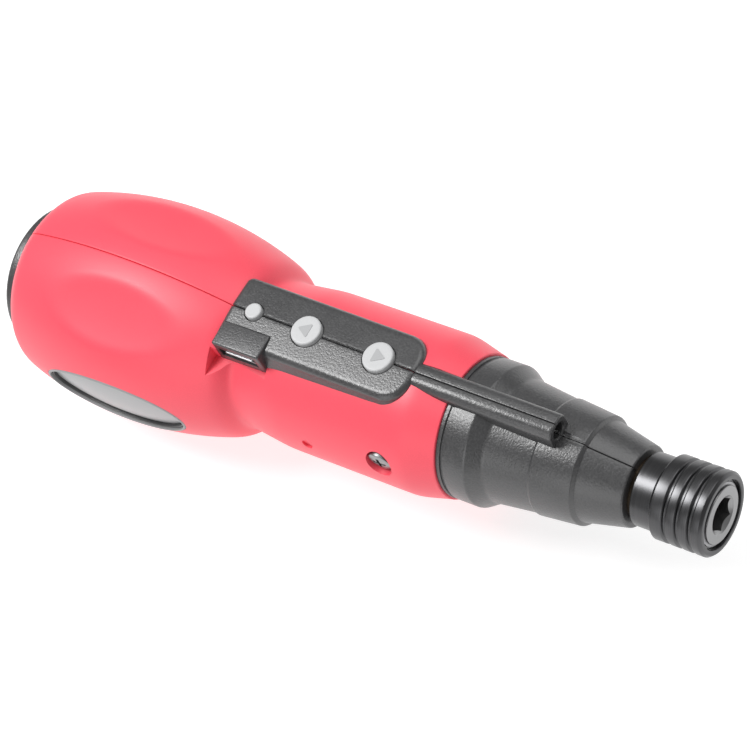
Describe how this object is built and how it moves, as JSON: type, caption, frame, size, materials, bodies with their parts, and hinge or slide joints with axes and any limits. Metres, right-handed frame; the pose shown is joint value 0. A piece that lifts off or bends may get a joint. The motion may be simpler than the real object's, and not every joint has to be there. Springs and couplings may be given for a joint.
{
  "type": "electric screwdriver",
  "caption": "Cordless electric screwdriver with a bulb-shaped handle, top switch panel, lamp tube, planetary gearbox and quick-release hex bit chuck.",
  "frame": {"origin": "centre of the hex bit socket's mouth", "axes": "+X along the tool's axis, out of the bit socket; +Z out of the switch panel; +Y to the left of the tool seen from behind"},
  "size_m": [0.1689, 0.0453, 0.0457],
  "materials": {
    "red_plastic": "fine matte",
    "black_plastic": "fine spark grain",
    "grey_plastic": "satin",
    "white_plastic": "satin",
    "plate_silver": "satin",
    "board_green": "satin",
    "bright_steel": "polished",
    "gear_steel": "sintered",
    "spindle_steel": "turned",
    "black_steel": "black oxide, turned",
    "bronze": "sintered",
    "copper": "bright",
    "cell_wrap": "shrink wrap",
    "lead_cover": "satin",
    "lamp_glass": "clear"
  },
  "bodies": {
    "housing": {"handle_shell_left": "red_plastic", "handle_shell_right": "red_plastic", "nose_left": "black_plastic", "nose_right": "black_plastic", "panel_left": "black_plastic", "panel_right": "black_plastic", "end_cap": "black_plastic", "plate_bezel": "grey_plastic", "rating_plate": "plate_silver", "usb_socket": "bright_steel", "housing_screw": "bright_steel", "switch_bodies": "black_plastic", "circuit_board": "board_green", "board_chips": "black_plastic", "usb_tongue": "white_plastic", "lamp_led": "lamp_glass", "lamp_leads": "lead_cover", "battery_cell": "cell_wrap", "battery_tabs": "bright_steel", "battery_leads": "lead_cover", "motor_can": "bright_steel", "motor_end_bell": "black_plastic", "motor_magnets": "gear_steel", "motor_brushes": "copper", "motor_leads": "lead_cover", "gear_plate": "white_plastic", "gear_screws": "bright_steel", "ring_gear": "gear_steel", "front_bush": "bronze", "rear_bush": "bronze"},
    "output": {"output_spindle": "spindle_steel", "output_carrier": "gear_steel", "spindle_clip": "bright_steel", "thrust_washer": "bright_steel", "bit_magnet": "bright_steel", "chuck_ball": "bright_steel", "chuck_washer": "bright_steel", "chuck_ring": "bright_steel", "chuck_spring": "bright_steel"},
    "chuck": {"chuck_sleeve": "black_steel"},
    "first_stage": {"first_carrier": "gear_steel", "second_sun": "gear_steel"},
    "rotor": {"motor_shaft": "bright_steel", "motor_pinion": "gear_steel", "armature": "gear_steel", "commutator": "copper"},
    "planet_1a_gear": {"planet_1a": "gear_steel"},
    "planet_1b_gear": {"planet_1b": "gear_steel"},
    "planet_1c_gear": {"planet_1c": "gear_steel"},
    "planet_2a_gear": {"planet_2a": "gear_steel"},
    "planet_2b_gear": {"planet_2b": "gear_steel"},
    "planet_2c_gear": {"planet_2c": "gear_steel"},
    "forward_key": {"forward_button": "grey_plastic", "forward_plunger": "white_plastic"},
    "reverse_key": {"reverse_button": "grey_plastic", "reverse_plunger": "white_plastic"},
    "lamp_key": {"lamp_button": "grey_plastic", "lamp_plunger": "white_plastic"}
  },
  "joints": [
    {"name": "rotor_spin", "type": "hinge", "parent": "housing", "child": "rotor", "pos_m": [0, 0, 0], "axis": [1, 0, 0], "continuous": true},
    {"name": "output_spin", "type": "hinge", "parent": "housing", "child": "output", "pos_m": [0, 0, 0], "axis": [1, 0, 0], "continuous": true},
    {"name": "first_stage_spin", "type": "hinge", "parent": "housing", "child": "first_stage", "pos_m": [0, 0, 0], "axis": [1, 0, 0], "continuous": true},
    {"name": "planet_1a_spin", "type": "hinge", "parent": "first_stage", "child": "planet_1a_gear", "pos_m": [0, 0, 0.0054], "axis": [1, 0, 0], "continuous": true},
    {"name": "planet_1b_spin", "type": "hinge", "parent": "first_stage", "child": "planet_1b_gear", "pos_m": [0, -0.00468, -0.0027], "axis": [1, 0, 0], "continuous": true},
    {"name": "planet_1c_spin", "type": "hinge", "parent": "first_stage", "child": "planet_1c_gear", "pos_m": [0, 0.00468, -0.0027], "axis": [1, 0, 0], "continuous": true},
    {"name": "planet_2a_spin", "type": "hinge", "parent": "output", "child": "planet_2a_gear", "pos_m": [0, 0, 0.0054], "axis": [1, 0, 0], "continuous": true},
    {"name": "planet_2b_spin", "type": "hinge", "parent": "output", "child": "planet_2b_gear", "pos_m": [0, -0.00468, -0.0027], "axis": [1, 0, 0], "continuous": true},
    {"name": "planet_2c_spin", "type": "hinge", "parent": "output", "child": "planet_2c_gear", "pos_m": [0, 0.00468, -0.0027], "axis": [1, 0, 0], "continuous": true},
    {"name": "chuck_slide", "type": "slide", "parent": "output", "child": "chuck", "axis": [1, 0, 0], "range_m": [0, 0.0028], "stiffness_N_per_m": 1200, "springref_m": -0.002, "deforming": ["chuck_spring"]},
    {"name": "forward_press", "type": "slide", "parent": "housing", "child": "forward_key", "axis": [0, 0, -1], "range_m": [0, 0.0004], "stiffness_N_per_m": 2500, "springref_m": -0.0002},
    {"name": "reverse_press", "type": "slide", "parent": "housing", "child": "reverse_key", "axis": [0, 0, -1], "range_m": [0, 0.0004], "stiffness_N_per_m": 2500, "springref_m": -0.0002},
    {"name": "lamp_press", "type": "slide", "parent": "housing", "child": "lamp_key", "axis": [0, 0, -1], "range_m": [0, 0.0004], "stiffness_N_per_m": 2500, "springref_m": -0.0002}
  ],
  "couplings": [
    {"joint": "output_spin", "follows": "rotor_spin", "ratio": 0.027778},
    {"joint": "first_stage_spin", "follows": "rotor_spin", "ratio": 0.16667},
    {"joint": "planet_1a_spin", "follows": "rotor_spin", "ratio": -0.41667},
    {"joint": "planet_1b_spin", "follows": "rotor_spin", "ratio": -0.41667},
    {"joint": "planet_1c_spin", "follows": "rotor_spin", "ratio": -0.41667},
    {"joint": "planet_2a_spin", "follows": "rotor_spin", "ratio": -0.069444},
    {"joint": "planet_2b_spin", "follows": "rotor_spin", "ratio": -0.069444},
    {"joint": "planet_2c_spin", "follows": "rotor_spin", "ratio": -0.069444}
  ]
}
